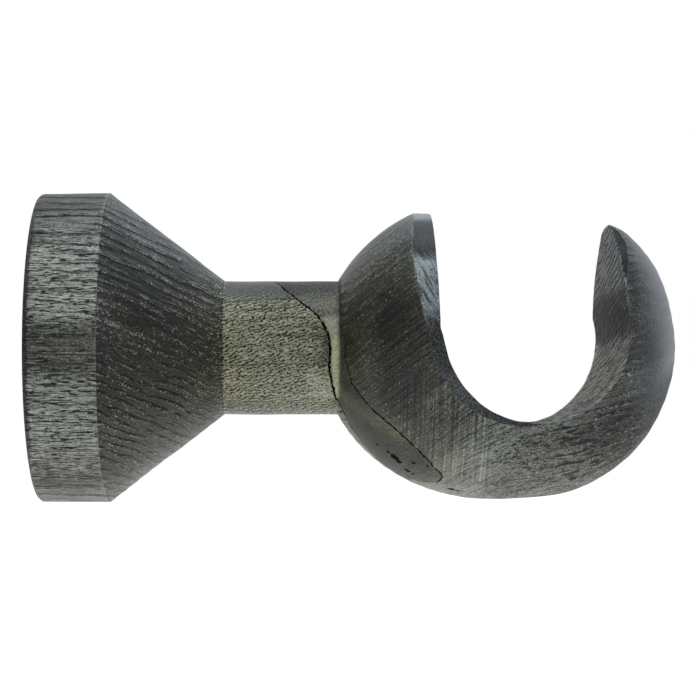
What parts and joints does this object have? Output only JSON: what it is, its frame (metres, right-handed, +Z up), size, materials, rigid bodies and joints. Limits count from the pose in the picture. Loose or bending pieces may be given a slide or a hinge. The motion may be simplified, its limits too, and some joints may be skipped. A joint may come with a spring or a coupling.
{
  "type": "curtain pole bracket",
  "caption": "Turned wooden curtain pole bracket: a round wall base narrows through a cone to a neck, then an egg-shaped bulb with an open-topped saddle that the pole drops into.",
  "frame": {"origin": "centre of the flat wall face, at the mouth of the pilot hole", "axes": "+X out from the wall along the turning axis, +Z up, the pole lies along Y"},
  "size_m": [0.1058, 0.0516, 0.0516],
  "materials": {
    "stained_wood": "charcoal stain on brushed open grain, with checks left as the wood dried"
  },
  "bodies": {
    "root": {"bracket_body": "stained_wood"}
  },
  "joints": []
}
